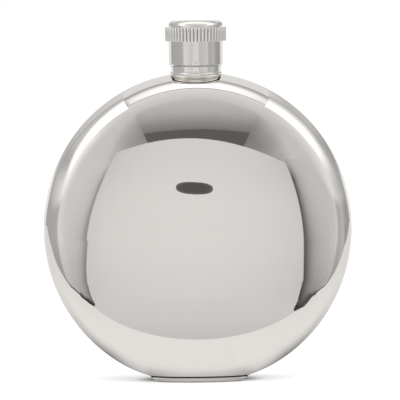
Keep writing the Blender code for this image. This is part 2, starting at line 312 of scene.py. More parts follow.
def body_section(body):
    """Half section of the body from the middle of a face to the middle of the band.

    It is returned as (radius, depth in front of the mid-plane) and the outward normals.
    The dome is an arc, the shoulder a tangent arc, the crease a short parabola and the band a parabola:
    radius = body radius - crown * (depth / half band) squared.
    """
    dome_rows, shoulder_rows, crease_rows, band_rows = 44, 30, 7, 18
    half_band = body.band_width / 2.0
    crease_radius = BODY_RADIUS - body.band_crown
    round_radius = body.shoulder_radius
    slope = body.shoulder_slope
    centre_r = crease_radius - round_radius * math.sin(slope)
    centre_d = half_band - round_radius * math.cos(slope)
    join = math.asin(centre_r / (body.dome_radius - round_radius))
    dome_d = centre_d - (body.dome_radius - round_radius) * math.cos(join)

    angle = np.linspace(0.0, join, dome_rows)
    dome = spread(body.dome_radius * np.sin(angle), dome_d + body.dome_radius * np.cos(angle))
    angle = np.linspace(join, slope - body.crease_round / round_radius, shoulder_rows)[1:]
    shoulder = spread(centre_r + round_radius * np.sin(angle), centre_d + round_radius * np.cos(angle))
    depth = np.linspace(half_band - body.crease_round, 0.0, band_rows)
    band = spread(BODY_RADIUS - body.band_crown * (depth / half_band) ** 2, depth)
    t = np.linspace(0.0, 1.0, crease_rows)[1:-1, None]
    corner = np.array([crease_radius, half_band])
    crease = (1 - t) ** 2 * shoulder[-1] + 2 * t * (1 - t) * corner + t ** 2 * band[0]
    section = np.concatenate([dome, shoulder, crease, band])

    tangent = np.gradient(section, axis=0)
    tangent[0] = (1.0, 0.0)
    tangent[-1] = (0.0, -1.0)
    normal = spread(-tangent[:, 1], tangent[:, 0])
    normal /= np.linalg.norm(normal, axis=1, keepdims=True)
    return section, normal


def face_sink(body, depth):
    """How far the circle has sunk at a depth: the face drop times the squared share of the half band."""
    return body.face_drop * np.clip(depth / (body.band_width / 2.0), 0.0, 1.0) ** 2


def body_height(body, radius_up, depth):
    """Height of a body point: its circle is stretched a little and sinks with the square of its depth.

    The upper stretch is strongest on the band and the lower circle flattens where it meets the foot.
    """
    top = body.top_tallness - (body.top_tallness - body.face_tallness) * smooth(depth, 0.002, 0.007)
    upper = smooth(radius_up / BODY_RADIUS, -0.3, 0.3)
    flat = body.foot_flatness * smooth(-radius_up / BODY_RADIUS, 0.86, 0.96)
    stretch = body.tallness + (top - body.tallness) * upper - flat
    return CENTRE_HEIGHT + stretch * radius_up - face_sink(body, depth)


def body_top_at(body, x, y):
    """Height of the body's upper surface over a point near the neck."""
    section, _ = body_section(body)
    depth = np.abs(y)
    radius = np.interp(depth, section[::-1, 1], section[::-1, 0])
    return body_height(body, np.sqrt(np.maximum(radius ** 2 - x ** 2, 0.0)), depth)


def build_shell(name, front, body):
    """One drawn half with its sheet thickness, open for the spout and cut off flat above the foot.

    A point is x = r sin a, y = -depth, z = body_height(r cos a, depth), where a runs round the face.
    Each meridian stops where it reaches the spout's hole or the cut, and turns back inside there.
    """
    columns = 288
    section, normal = body_section(body)
    inner = section - normal * body.sheet
    inner[:, 1] = np.maximum(inner[:, 1], 0.0)
    inner[0, 0] = 0.0
    angle = (np.arange(columns) + 0.5) * TURN / columns

    def place(profile, rows):
        """The surface point at a fractional row of a profile, for each meridian."""
        index = np.arange(len(profile))
        radius = np.interp(rows, index, profile[:, 0])
        depth = np.interp(rows, index, profile[:, 1])
        outer_depth = np.interp(rows, index, section[:, 1])
        return spread(radius * np.sin(angle), -depth, body_height(body, radius * np.cos(angle), outer_depth))

    count = len(section)
    row = np.broadcast_to(np.arange(count, dtype=float)[:, None], (count, columns))
    points = place(section, row)
    room_below = points[..., 2] - SHELL_LOW.z - body.foot_lift
    room_round = np.hypot(points[..., 0], points[..., 1]) - (COLLAR_HIGH.x - COLLAR_WALL)
    room = np.where(points[..., 2] > CENTRE_HEIGHT, room_round, room_below)
    outside = room < 0.0
    first = np.where(outside.any(axis=0), outside.argmax(axis=0), count)
    last = np.clip(first - 1, 0, count - 2)
    column = np.arange(columns)
    step = room[last, column] / np.maximum(room[last, column] - room[last + 1, column], 1e-12)
    stop = np.where(first < count, last + step, count - 1.0)
    rows = np.minimum(row, stop)
    grid = np.concatenate([place(section, rows), place(inner, rows[::-1])])
    if not front:
        grid[..., 1] *= -1.0
    return mesh_piece(name, grid, flip=front)


def foot_outline(body, points=192):
    """Outline of the body's own section at the cut, spaced evenly: x squared = r squared - drop squared."""
    section, _ = body_section(body)
    radius, depth = section.T
    stretch = body.tallness - body.foot_flatness
    drop = (CENTRE_HEIGHT - face_sink(body, depth) - SHELL_LOW.z - body.foot_lift) / stretch
    inside = radius > drop
    depth = depth[inside]
    x = np.sqrt(radius[inside] ** 2 - drop[inside] ** 2)
    quarter = spread(np.concatenate([[0.0], x]), np.concatenate([depth[:1], depth]))
    half = np.concatenate([quarter, quarter[::-1][1:] * (1, -1)])
    loop = np.concatenate([half, half[::-1][1:] * (-1, 1)])
    along = np.concatenate([[0.0], np.cumsum(np.linalg.norm(np.diff(loop, axis=0), axis=1))])
    even = np.arange(points) * along[-1] / points
    return spread(np.interp(even, along, loop[:, 0]), np.interp(even, along, loop[:, 1]))


def build_foot(name, body):
    """Pressed foot plate: the cut's outline carried down a profile of (share of the outline, height)."""
    top = SHELL_LOW.z - 0.0001
    taper = body.foot_taper
    edge = body.foot_edge
    profile = softened([
        (0.0, top - 0.0001), (0.9, top - 0.0001), (0.985, top), (0.995, top - 0.0003),
        (1.0 - (1.0 - taper) * 0.55, edge), (taper, 0.0), (0.0, 0.0),
    ], (0.01, 0.003, 0.00008, 0.0003, 0.0004))
    outline = foot_outline(body)
    size = profile[:, 0, None]
    points = spread(size * outline[:, 0], size * outline[:, 1], profile[:, 1, None])

    def painted_shade(x, y, z):
        """Painted shade along the upper and the lower edge, where the foot meets the body and the floor."""
        return smooth(z, top - 0.0003, top - 0.00005) + 1 - smooth(z, 0.0, 0.0004)

    return mesh_piece(name, points, flip=True, painted_shade=painted_shade)


def add_thread(wall, start, neck, radius, side):
    """Raises the thread's ridge on a turned wall, outward for side 1 and inward for side -1.

    Over each point, turn is the count of thread turns up to its height, and the ridge is a rounded bump
    of its distance from the nearest whole turn, which rises and falls over a short run at the ends.
    """
    ridge = 0.30                # half width of the ridge, in turns
    run = 0.12                  # length of each end's rise, in turns
    part = np.mod(np.arctan2(wall[..., 1], wall[..., 0]), TURN) / TURN
    turn = (wall[..., 2] - start) / neck.thread_pitch - part
    nearest = np.clip(np.round(turn), 0, None)
    bump = np.clip(1.0 - (np.abs(turn - nearest) / ridge) ** 2, 0.0, 1.0) ** 0.7
    along = nearest + part
    fade = np.clip(along / run, 0.0, 1.0) * np.clip((neck.thread_turns - along) / run, 0.0, 1.0)
    wall[..., :2] *= (1.0 + side * neck.thread_depth * bump * np.sqrt(fade) / radius)[..., None]


def build_spout(name, neck):
    """Spout tube with a rolled rim and the thread's ridge outside."""
    outer = SPOUT_HIGH.x - THREAD_CREST
    inner = outer - neck.wall
    rim, bottom = SPOUT_HIGH.z, SPOUT_LOW.z
    start = COLLAR_HIGH.z + THREAD_ABOVE_COLLAR
    low = start - neck.thread_pitch
    high = start + neck.thread_pitch * (neck.thread_turns + 0.5)
    rolled = softened([(outer, high), (outer, rim), (inner, rim), (inner, rim - 0.001)], 0.00035, 7)
    foot = [(inner, bottom), (outer, bottom)]
    wall = spread(outer, np.linspace(low, high, THREAD_ROWS))
    grid = turned(np.concatenate([foot, wall, rolled[1:], foot[:1]]))
    add_thread(grid[len(foot) + 1:len(foot) + THREAD_ROWS], start, neck, outer, 1.0)
    return mesh_piece(name, grid)


def build_collar(name, neck, body):
    """Turned collar: band, groove, bead and waist, which narrows in depth to stand on the body's band."""
    outer, top = COLLAR_HIGH.x, COLLAR_HIGH.z
    inner = outer - COLLAR_WALL
    band = outer - 0.0002
    groove = outer - 0.00025
    groove_half = 0.00015
    waist = outer - neck.waist
    band_bottom = top - neck.band
    groove_middle = band_bottom - groove_half
    bead_top = groove_middle - groove_half
    bead_bottom = bead_top - neck.bead
    neck_low = bead_bottom - 0.0008
    upper = softened([
        (inner, top), (band, top), (band, band_bottom), (groove, groove_middle),
        (outer, bead_top), (outer, bead_bottom), (waist, bead_bottom - 0.00065), (waist, neck_low),
    ], (0.00018, 0.0001, 0.0001, 0.00025, 0.0004, 0.0003), 9)
    grid = turned(upper)
    angle = round_angles(ROUND_COLUMNS)
    t = np.linspace(0.0, 1.0, 24)[1:, None]
    depth = waist + (neck.saddle_depth - waist) * smooth(t, 0.0, 1.0)
    x = waist * np.sin(angle) * np.ones_like(t)
    y = -depth * np.cos(angle)
    height = neck_low + (body_top_at(body, x, y) - SEAT - neck_low) * t
    skirt = spread(x, y, np.minimum(height, neck_low))
    inner_x = inner * np.sin(angle)
    inner_y = -inner * np.cos(angle)
    rim = spread(inner_x, inner_y, body_top_at(body, inner_x, inner_y) - SEAT)[None]

    def painted_shade(x, y, z):
        """Painted shade in the groove under the band and on the last part above the body."""
        low = 0.5 - 0.5 * smooth(z - body_top_at(body, x, y), 0.00002, 0.00014)
        return low + np.exp(-((z - groove_middle) / 0.00012) ** 2) * 0.5

    return mesh_piece(name, np.concatenate([grid, skirt, rim, grid[:1]]), flip=True, painted_shade=painted_shade)


def build_cap(name, cap):
    """Drawn cup: a slightly domed top, a rounded edge, a skirt with a rolled lip and the same inside."""
    radius = CAP_HIGH.x
    top, bottom = CAP_HIGH.z, CAP_LOW.z
    edge = cap.edge_radius
    inner_edge = edge - cap.wall
    flat = radius - edge
    rim = top - cap.dome
    across = np.linspace(0.0, 1.0, 18)[:-1]
    domed = spread(flat * across, top - cap.dome * across ** 2)
    arc = np.linspace(0.0, math.pi / 2.0, 18)
    rounded = spread(flat + edge * np.sin(arc), rim - edge + edge * np.cos(arc))
    lip = softened([(radius, bottom + 0.001), (radius, bottom), (radius - cap.wall, bottom),
                    (radius - cap.wall, bottom + 0.001)], 0.0002, 5)
    arc = arc[::-1]
    inside = spread(flat + inner_edge * np.sin(arc), rim - edge + inner_edge * np.cos(arc))
    ceiling = [(flat * 0.5, rim - cap.wall), (0.0, rim - cap.wall)]

    def painted_shade(x, y, z):
        """Painted shade on the lip's lowest part."""
        return 0.8 * (1 - smooth(z, bottom + 0.00002, bottom + 0.0002))

    return mesh_piece(name, turned(np.concatenate([domed, rounded, lip, inside, ceiling])), painted_shade=painted_shade)


def build_grip_ring(name, cap):
    """Ribbed ring, chamfered: radius = crest - rib depth * (1 - |cos(ribs * angle / 2)| to the power 0.6)."""
    columns_per_rib = 14
    crest = RING_HIGH.x
    clearance = 0.00002
    bore = CAP_HIGH.x + clearance
    low, high = RING_LOW.z, RING_HIGH.z
    middle = (low + high) / 2.0
    columns = cap.ribs * columns_per_rib
    angle = round_angles(columns)
    wave = np.abs(np.cos(cap.ribs * angle / 2.0)) ** 0.6
    chamfer = np.array([(0.0, 0.0), (0.6, 0.0), (0.88, 0.00001), (0.97, 0.00005), (1.0, 0.00014)])
    reach = np.concatenate([chamfer[:, 0], [1.0], chamfer[::-1, 0]])[:, None]
    rise = np.concatenate([low + chamfer[:, 1], [middle], high - chamfer[::-1, 1]])
    body = crest - cap.rib_depth - 0.0003
    outer = body + (crest - body) * reach - cap.rib_depth * (1.0 - wave) * reach
    radius = np.concatenate([np.full((1, columns), bore), outer, np.full((2, columns), bore)])
    height = np.concatenate([[low], rise, [high, low]])[:, None]

    def painted_shade(x, y, z):
        """Painted shade deep in the valleys of the outer wall."""
        valley_depth = (crest - np.hypot(x, y)) / cap.rib_depth
        return smooth(valley_depth, 0.10, 0.75) * (np.abs(z - middle) < (high - low) / 2.0 - 0.0001)

    return mesh_piece(name, carried_round(radius, height, angle), painted_shade=painted_shade)


def build_liner(name, cap, neck):
    """Moulded cup inside the cap, with the thread's ridge in its bore."""
    radius = LINER_HIGH.x
    bore = radius - cap.liner_wall
    top, bottom = LINER_HIGH.z, LINER_LOW.z
    ceiling = SEAL_HIGH.z + 0.0003
    start = COLLAR_HIGH.z + THREAD_ABOVE_COLLAR - neck.thread_pitch / 2.0
    low = start - neck.thread_pitch * 0.6
    high = start + neck.thread_pitch * (neck.thread_turns + 0.6)
    outside = softened([(0.0, top), (radius, top), (radius, bottom), (bore, bottom), (bore, low)],
                       (0.0010, 0.00015, 0.00015), 8)
    wall = spread(bore, np.linspace(low, high, THREAD_ROWS))
    grid = turned(np.concatenate([outside, wall[1:], [(bore, ceiling), (0.0, ceiling)]]))
    add_thread(grid[len(outside):len(outside) + THREAD_ROWS - 1], start, neck, bore, -1.0)
    return mesh_piece(name, grid)


def build_seal(name):
    """Rubber disc with a soft edge, a ring pressed into it by the spout's rim and a small middle dimple."""
    radius = SEAL_HIGH.x
    low, high = SEAL_LOW.z, SEAL_HIGH.z
    half_wall = 0.0004          # of the spout, whose rim leaves the ring
    ring_depth, dimple_depth, dimple_radius = 0.00008, 0.00010, 0.0008
    rim_radius = SPOUT_HIGH.x - THREAD_CREST - half_wall
    r = np.linspace(0.0, radius - 0.0002, 48)
    face = low + ring_depth * np.exp(-((r - rim_radius) / half_wall) ** 2)
    under = spread(r, face + dimple_depth * np.exp(-(r / dimple_radius) ** 2))
    rim = softened([under[-1], (radius, low), (radius, high), (radius - 0.0004, high)], 0.00018, 6)
    return mesh_piece(name, turned(np.concatenate([under, rim[1:], [(0.0, high)]]), 128))


def new_group(name, inputs):
    """An empty effect group; its inputs are named numbers, colours and, where None is given, vectors."""
    group = bpy.data.node_groups.new(name, "ShaderNodeTree")
    kinds = {type(None): "NodeSocketVector", float: "NodeSocketFloat", tuple: "NodeSocketColor"}
    for label, value in inputs.items():
        socket = group.interface.new_socket(name=label, in_out="INPUT", socket_type=kinds[type(value)])
        if value is not None:
            socket.default_value = value
    for label, kind in (("Colour", tuple), ("Roughness", float), ("Height", float)):
        group.interface.new_socket(name=label, in_out="OUTPUT", socket_type=kinds[kind])
    return group, group.nodes.new("NodeGroupInput").outputs, group.nodes.new("NodeGroupOutput").inputs


def plug(tree, value, socket):
    """Links a socket to an input, or sets the input to a number."""
    if isinstance(value, bpy.types.NodeSocket):
        tree.links.new(value, socket)
    else:
        socket.default_value = value


def math_node(tree, operation, first, second):
    """A Math node whose inputs are sockets or numbers."""
    node = tree.nodes.new("ShaderNodeMath")
    node.operation = operation
    plug(tree, first, node.inputs[0])
    plug(tree, second, node.inputs[1])
    return node.outputs[0]


def noise(tree, vector, scale, detail, roughness):
    """A noise texture's value on the given coordinates."""
    node = tree.nodes.new("ShaderNodeTexNoise")
    labels = ("Vector", "Scale", "Detail", "Roughness")
    for label, value in zip(labels, (vector, scale, detail, roughness)):
        plug(tree, value, node.inputs[label])
    return node.outputs["Fac"]


def stretched(tree, vector, scale):
    """Coordinates scaled along the three axes."""
    node = tree.nodes.new("ShaderNodeMapping")
    node.inputs["Scale"].default_value = scale
    tree.links.new(vector, node.inputs["Vector"])
    return node.outputs["Vector"]


def ranged(tree, *values):
    """A value moved from one range to another and kept inside it: value, low, high, new low, new high."""
    node = tree.nodes.new("ShaderNodeMapRange")
    labels = ("Value", "From Min", "From Max", "To Min", "To Max")
    for label, value in zip(labels, values):
        plug(tree, value, node.inputs[label])
    return node.outputs["Result"]


def mixed(tree, share_of_second, first, second):
    """Two colours mixed by a value, all given as sockets."""
    node = tree.nodes.new("ShaderNodeMix")
    node.data_type = "RGBA"
    colours = [socket for socket in node.inputs if socket.type == "RGBA"]
    for socket, value in zip((node.inputs[0], *colours), (share_of_second, first, second)):
        tree.links.new(value, socket)
    return next(socket for socket in node.outputs if socket.type == "RGBA")


def polish_and_shade_group():
    """Polished metal's small life: faint smears, fine polishing marks, a slow waviness of the sheet and
    painted shade in its seams and valleys.
    """
    group, given, out = new_group("polish_marks_and_shade", {
        "Vector": None, "Clean": (0.8, 0.8, 0.8, 1.0), "Smeared": (0.7, 0.7, 0.7, 1.0),
        "Low Roughness": 0.02, "High Roughness": 0.05, "Waviness": 1.0,
        "Seam": 0.0, "Painted Shade Colour": (0.2, 0.2, 0.2, 1.0),
    })
    vector, painted_shade = given["Vector"], given["Seam"]
    smear = noise(group, stretched(group, vector, (1.0, 1.0, 0.45)), 42.0, 4.0, 0.55)
    marks = noise(group, stretched(group, vector, (1.0, 1.0, 0.06)), 900.0, 2.0, 0.5)
    dirt = math_node(group, "MULTIPLY", smear, marks)
    clean = mixed(group, ranged(group, dirt, 0.22, 0.40, 0.0, 1.0), given["Clean"], given["Smeared"])
    # painted shade: the colour turns darker where the piece's seams and valleys lie
    group.links.new(mixed(group, painted_shade, clean, given["Painted Shade Colour"]), out["Colour"])
    rough = ranged(group, dirt, 0.15, 0.42, given["Low Roughness"], given["High Roughness"])
    shade_roughness = math_node(group, "MULTIPLY", painted_shade, 0.25)
    group.links.new(math_node(group, "ADD", rough, shade_roughness), out["Roughness"])
    wave = noise(group, vector, 55.0, 1.0, 0.4)
    group.links.new(math_node(group, "MULTIPLY", wave, given["Waviness"]), out["Height"])
    return group


def moulded_group():
    """A moulded or rubber skin: a fine grain in the surface, a little mottling and a dulled touch of dust."""
    group, given, out = new_group("moulded_skin", {
        "Vector": None, "Fresh": (0.8, 0.8, 0.8, 1.0), "Worn": (0.7, 0.7, 0.7, 1.0),
        "Low Roughness": 0.4, "High Roughness": 0.6, "Grain": 900.0,
    })
    mottle = noise(group, given["Vector"], 160.0, 4.0, 0.6)
    worn = ranged(group, mottle, 0.40, 0.72, 0.0, 1.0)
    group.links.new(mixed(group, worn, given["Fresh"], given["Worn"]), out["Colour"])
    rough = ranged(group, mottle, 0.3, 0.7, given["Low Roughness"], given["High Roughness"])
    group.links.new(rough, out["Roughness"])
    group.links.new(noise(group, given["Vector"], given["Grain"], 3.0, 0.5), out["Height"])
    return group


def new_material(name):
    """A node material and its tree."""
    mat = bpy.data.materials.new(name)
    mat.use_nodes = True
    return mat, mat.node_tree


def effect_material(name, group, values, metallic, bump_depth):
    """A Principled material whose colour, roughness and bump come from a shared effect group."""
    mat, tree = new_material(name)
    shader = tree.nodes["Principled BSDF"]
    shader.inputs["Metallic"].default_value = metallic
    place = tree.nodes.new("ShaderNodeTexCoord")
    effect = tree.nodes.new("ShaderNodeGroup")
    effect.node_tree = group
    tree.links.new(place.outputs["Object"], effect.inputs["Vector"])
    for label, value in values.items():
        effect.inputs[label].default_value = value
    bump = tree.nodes.new("ShaderNodeBump")
    bump.inputs["Distance"].default_value = bump_depth
    tree.links.new(effect.outputs["Colour"], shader.inputs["Base Color"])
    tree.links.new(effect.outputs["Roughness"], shader.inputs["Roughness"])
    tree.links.new(effect.outputs["Height"], bump.inputs["Height"])
    tree.links.new(bump.outputs["Normal"], shader.inputs["Normal"])
    return mat


def darker(tint, share_left):
    """A colour with only a share of its light left, as a shader socket takes it."""
    return (*(share_left * part for part in tint), 1.0)


def steel_material(name, tint, polished, dull, waviness, shade_left=0.30):
    """Polished steel with its own sheen: the smears are a little duller, and painted shade darkens the
    piece's seams and valleys.
    """
    bump_depth = 0.000012
    group = bpy.data.node_groups.get("polish_marks_and_shade") or polish_and_shade_group()
    mat = effect_material(name, group, {
        "Clean": darker(tint, 1.0), "Smeared": darker(tint, 0.985), "Low Roughness": polished,
        "High Roughness": dull, "Waviness": waviness, "Painted Shade Colour": darker(tint, shade_left),
    }, 1.0, bump_depth)
    # the seam and valley depths, which the finish turns into painted shade
    painted_shade = mat.node_tree.nodes.new("ShaderNodeAttribute")
    painted_shade.attribute_name = "painted_shade"
    effect = next(node for node in mat.node_tree.nodes if node.type == "GROUP")
    mat.node_tree.links.new(painted_shade.outputs["Fac"], effect.inputs["Seam"])
    return mat


def skin_material(name, tint, fresh, dull, grain, bump_depth):
    """Moulded plastic or rubber in one colour with its grain, between a fresh and a dull roughness."""
    group = bpy.data.node_groups.get("moulded_skin") or moulded_group()
    return effect_material(name, group, {
        "Fresh": darker(tint, 1.0), "Worn": darker(tint, 0.88), "Low Roughness": fresh,
        "High Roughness": dull, "Grain": grain,
    }, 0.0, bump_depth)


def place_piece(piece, mat, body, node):
    """Gives a piece its material and says what it rides on and which node it replaces."""
    piece.data.materials.append(mat)
    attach(piece, body)
    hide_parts(node)


def tone_material():
    """A studio surface that shows its own grey level, read from the mesh's tone attribute."""
    mat, tree = new_material("studio_tone")
    tree.nodes.clear()
    tone = tree.nodes.new("ShaderNodeAttribute")
    tone.attribute_name = "tone"
    glow = tree.nodes.new("ShaderNodeEmission")
    out = tree.nodes.new("ShaderNodeOutputMaterial")
    tree.links.new(tone.outputs["Fac"], glow.inputs["Strength"])
    tree.links.new(glow.outputs["Emission"], out.inputs["Surface"])
    mat.cycles.emission_sampling = "NONE"
    return mat


def studio_card(name, x, y, z, tone, mat):
    """A studio surface that only reflections see: a grid of places with a grey level at each."""
    points = spread(x, y, z)
    mesh = grid_mesh(name, points, False)
    store(mesh, "tone", np.broadcast_to(tone, points.shape[:2]) / STEEL_TONE)
    mesh.materials.append(mat)
    card = new_object(name, mesh)
    for kind in ("camera", "diffuse", "shadow", "transmission", "volume_scatter"):
        setattr(card, "visible_" + kind, False)


def side_grey(turn):
    """Grey of the side cloths by the angle from the front, negative on the left."""
    left = np.interp(-turn, (20, 30, 42, 53, 55, 70, 90, 110),
                     (0.565, 0.59, 0.635, 0.63, 0.42, 0.38, 0.38, 0.36))
    right = np.interp(turn, (30, 40, 50, 54, 66, 74, 86, 98),
                      (0.51, 0.53, 0.58, 0.44, 0.38, 0.46, 0.40, 0.31))
    return np.where(turn < 0, left, right)


def edge_fringe(turn, beyond):
    """Share of the side cloths' grey that is left beside the sheet's edge, by the degrees beyond it."""
    left = np.interp(beyond, (0, 0.2, 0.45, 0.7, 1.0, 1.4, 2.3, 3.6),
                     (0.44, 0.50, 0.67, 0.80, 0.87, 0.92, 0.96, 1.0))
    right = np.interp(beyond, (0, 0.25, 0.5, 0.76, 1.0, 1.4, 1.9, 2.5, 3.6, 5.0),
                      (0.16, 0.24, 0.40, 0.54, 0.66, 0.78, 0.86, 0.92, 0.98, 1.0))
    return np.where(turn < 0, left, right)


def sheet_edges(rise):
    """Side edges of the pale sheet, left and right, by the share of its height: leaning and bowed."""
    bow = 4 * rise * (1 - rise)
    return -0.1575 + 0.0455 * rise - 0.0075 * bow, 0.1493 - 0.0250 * rise + 0.0050 * bow


def sheet_shade(u):
    """How much darker the pale sheet and strip are at a share of their width: most at the sides."""
    return 0.085 * np.exp(-np.minimum(u, 1 - u) / 0.13) + 0.015 * smooth(u, 0.5, 1.0)


def front_card(mat):
    """The pale sheet in front of the flask: a wall with leaning sides and a bowed top edge."""
    left_top, fall, bow = 0.0745, 0.018, 0.026
    u, v = unit_grid(40, 80)
    left, right = sheet_edges(v)
    top = CENTRE_HEIGHT + left_top - fall * u + bow * 4 * u * (1 - u)
    tone = 0.670 - 0.050 * smooth(v, 0.35, 1.0) - sheet_shade(u)
    studio_card("front_card", left + (right - left) * u, WALL_Y, top * v, tone, mat)


def lens_opening(mat):
    """The dark opening in the sheet: a slightly tilted flat oval."""
    half_width, half_height, squareness = 0.0255, 0.0085, 0.8
    middle_x, middle_z = -0.004, CENTRE_HEIGHT + 0.0238
    tilt = math.radians(3.0)
    u, v = unit_grid(6, 48)
    across = np.cos(u * TURN)
    up = np.sin(u * TURN)
    x = half_width * v * np.sign(across) * np.abs(across) ** squareness
    z = half_height * v * np.sign(up) * np.abs(up) ** squareness
    studio_card("lens_opening", middle_x + x * math.cos(tilt) + z * math.sin(tilt), WALL_Y + 0.001,
                middle_z - x * math.sin(tilt) + z * math.cos(tilt), 0.08 + 0.05 * v ** 8, mat)


def side_curtain(mat):
    """The two dark-edged cloths that hang beside the pale sheet."""
    degree = 0.00785            # one degree from the flask, at the sheet
    cloth_width, overlap = 0.16, 0.002
    for name, side, sheet_height in (("curtain_left", -1, 0.1252), ("curtain_right", 1, 0.1102)):
        u, v = unit_grid(80, 160)
        z = CURTAIN_HEIGHT * v
        left, right = sheet_edges(z / sheet_height)
        beyond = cloth_width * u ** 2
        x = (-left if side < 0 else right) - overlap + beyond
        turn = side * degrees(x, -WALL_Y)
        if side < 0:
            width = np.interp(z, (0.0, 0.015, 0.030, 0.046, 0.065), (2.0, 1.8, 1.5, 1.15, 1.0))
        else:
            width = np.interp(z, (0.0, 0.020, 0.045, 0.075), (1.75, 1.45, 1.15, 0.9))
        fringe = edge_fringe(turn, np.maximum(beyond - overlap, 0.0) / degree / width)
        fringe = blend(fringe, 1.0, 0.65 * smooth(z, 0.080, CURTAIN_HEIGHT))
        studio_card(name, side * x, WALL_Y - 0.001, z, side_grey(turn) * fringe, mat)


def panel_edge(across):
    """Near edge of the panel overhead, as y by the place across it."""
    return -0.044 - 0.009 * across ** 2


def ceiling_panel(mat):
    """The long panel overhead, in front of the flask: grey, with a dark far end and a dark line along its
    near edge.
    """
    panel_length, widening = 1.10, 0.048
    u, v = unit_grid(400, 40)
    across = 2 * u - 1
    near = panel_edge(across)
    y = near - panel_length * v ** 2
    half = PANEL_HALF + widening * smooth(-y, 0.05, 1.3)
    along = -0.918 * y - 0.040 * across ** 2 * smooth(-y, 0.06, 0.4)      # lines of one grey are bowed
    tone = np.interp(along, (0.054, 0.060, 0.09, 0.15, 0.25, 0.37, 0.42, 0.455, 0.49, 0.52, 0.575),
                     (0.70, 0.66, 0.62, 0.575, 0.54, 0.48, 0.43, 0.37, 0.30, 0.25, 0.19))
    tone = tone * (1 - 0.06 * across ** 2 * smooth(along, 0.08, 0.3))
    tone = blend(tone, 0.10, smooth(along, 0.576, 0.585))
    edge_line = window(near - y, -0.001, 0.0010, 0.0045, 0.0090)
    studio_card("ceiling_panel", half * across, y, CEILING_HEIGHT, blend(tone, 0.34, edge_line), mat)


def white_opening(mat):
    """The white opening behind the panel, right over the flask, which turns grey behind it."""
    back = 0.20
    u, v = unit_grid(160, 60)
    across = 2 * u - 1
    near = panel_edge(across)
    y = near + (back - near) * v
    tone = blend(1.10 - 0.32 * across ** 2, 0.38, smooth(y + 0.010 * across ** 2, -0.005, 0.044))
    tone = blend(tone, 0.67, smooth(y, 0.056, 0.068))
    tone = blend(tone, 0.42, smooth(-across, 0.91, 1.0) * (1 - smooth(y, -0.03, 0.02)))
    studio_card("white_opening", PANEL_HALF * across, y, CEILING_HEIGHT, tone, mat)


def tent(name, first, last, columns, mat):
    """A part of the cloth tent round the table, from one angle to another; its grey follows the direction.

    In degrees: rise is the angle over the table, turn the angle round it from the front, off the angle from
    the front along any way, and side the way itself, from 0 straight up to 90 level. Each side has a lamp's
    glow in it, and the front is darker in the gap beside the panel overhead.
    """
    lowest = math.radians(-4.0)
    u, v = unit_grid(110, columns)
    azimuth = np.radians(first + (last - first) * u)
    elevation = lowest + v * (math.radians(90.0) - lowest)
    x = np.cos(elevation) * np.sin(azimuth)
    y = -np.cos(elevation) * np.cos(azimuth)
    z = np.sin(elevation)
    off = np.degrees(np.arccos(np.clip(-y, -1, 1)))
    side = degrees(np.abs(x), z)
    turn = degrees(x, -y)
    rise = np.degrees(elevation)

    gap = np.interp(off, (12.6, 13.6, 14.6, 15.3, 16.0, 17.6, 22.0),
                    (0.18, 0.22, 0.27, 0.34, 0.42, 0.48, 0.60))
    gap = gap + 0.05 * smooth(side, 36.0, 48.0) + 0.08 * smooth(side, 48.0, 62.0) + 0.06 * (turn < 0)
    high = np.interp(np.abs(turn), (12, 25, 38, 46, 53, 75, 110), (0.51, 0.56, 0.62, 0.67, 0.72, 0.55, 0.38))
    high = np.minimum(high + 0.02 * (turn < 0), gap)
    tone = blend(side_grey(turn), high, np.maximum(smooth(rise, 3.5, 9.0), 1 - smooth(side, 66.0, 71.0)))

    glow = blend(1.30, 0.40 + 0.18 * (1 - smooth(side, 48.0, 62.0)), smooth(off, 76.0, 116.0))
    right = blend(tone, glow, smooth(off, 57.0, 68.0) * (1 - smooth(side, 50.0, 77.0)))
    reach = np.interp(side, (32, 48, 60, 66, 74), (104, 95, 82, 74, 62))
    glow = blend(1.30, 0.50 - 0.17 * smooth(side, 56.0, 68.0), smooth(off, reach - 14, reach + 10))
    early = 0.14 * smooth(off, 28.0, 54.0) * window(side, 42.0, 54.0, 70.0, 84.0)
    left = blend(tone + early, glow, smooth(off, 54.0, 62.0) * (1 - smooth(side, 60.0, 79.0)))
    tone = np.where(x > 0, right, left)

    tone = blend(tone, 0.36, smooth(off, 114.0, 126.0) * (rise > 0))
    plain = np.where(x > 0, np.interp(side, (20, 30, 40, 53, 66, 80), (0.66, 0.62, 0.46, 0.47, 0.32, 0.33)),
                     np.interp(side, (20, 27, 40, 53, 66, 80), (0.67, 0.62, 0.56, 0.51, 0.42, 0.40)))
    tone = blend(tone, plain, smooth(off, 127.0, 132.0))
    tone = blend(tone, 0.72, smooth(off, 123.0, 132.0) * (1 - smooth(rise, 3.0, 9.0)))
    studio_card(name, TENT_RADIUS * x, TENT_RADIUS * y, TENT_RADIUS * z + CENTRE_HEIGHT,
                np.clip(tone, 0.05, 1.35), mat)


def strip_sides(away):
    """Half widths of the pale strip, left and right: a root of the distance, then nearly straight."""
    end_width = 0.066           # half width squared over the distance from the tip, at the near end
    curve = np.sqrt(end_width * np.maximum(away - STRIP_NEAR, 0.0))
    left = np.interp(away, (0.105, 0.134, 0.173, 0.229, 0.308, 0.425, 0.45),
                     (0.0575, 0.068, 0.081, 0.097, 0.118, 0.149, 0.1555))
    right = np.interp(away, (0.092, 0.105, 0.138, 0.175, 0.228, 0.300, 0.403, 0.45),
                      (0.0495, 0.0545, 0.065, 0.0768, 0.091, 0.110, 0.137, 0.1490))
    near = away < 0.15
    return np.where(near, np.minimum(curve, left), left), np.where(near, np.minimum(curve, right), right)


